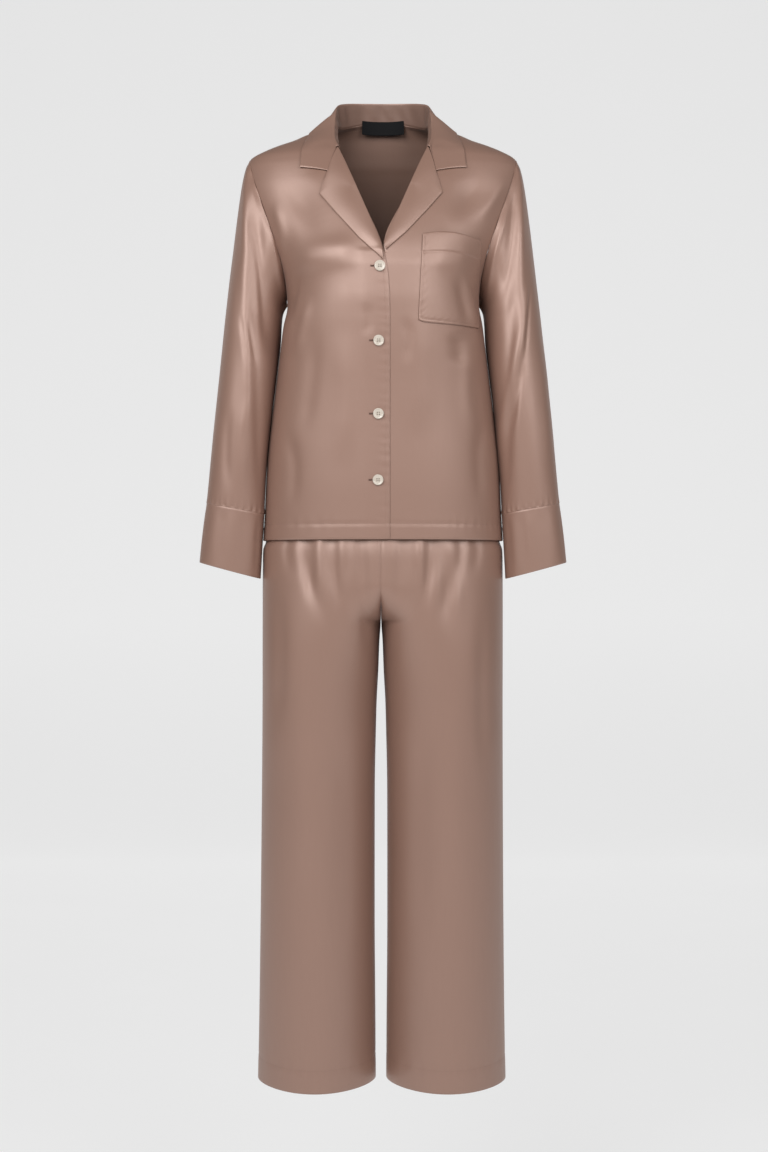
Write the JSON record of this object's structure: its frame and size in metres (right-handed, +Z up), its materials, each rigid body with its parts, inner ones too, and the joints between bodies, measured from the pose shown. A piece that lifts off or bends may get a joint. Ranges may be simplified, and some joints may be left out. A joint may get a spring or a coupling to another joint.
{
  "type": "pyjama set",
  "caption": "Satin pyjama set filled out as worn: long-sleeved shirt with notched collar, breast pocket and buttoned front over wide straight trousers",
  "frame": {"origin": "the middle of the neck opening, level with the collar seam at the side of the neck, in the plane of the side seams", "axes": "+Z is up, the front faces -Y, and the right hand of the wearer is at -X"},
  "size_m": [0.5432, 0.263, 1.4764],
  "materials": {
    "satin": "soft satin sheen",
    "label": "plain woven",
    "button": "pearly"
  },
  "bodies": {
    "root": {"front_right": "satin", "front_left": "satin", "back": "satin", "sleeve_right": "satin", "sleeve_left": "satin", "cuff_right": "satin", "cuff_left": "satin", "collar": "satin", "lapel_right": "satin", "lapel_left": "satin", "pocket": "satin", "trouser_front_right": "satin", "trouser_front_left": "satin", "trouser_back_right": "satin", "trouser_back_left": "satin", "waistband": "satin", "neck_label": "label", "button_1": "button", "button_2": "button", "button_3": "button", "button_4": "button"}
  },
  "joints": []
}
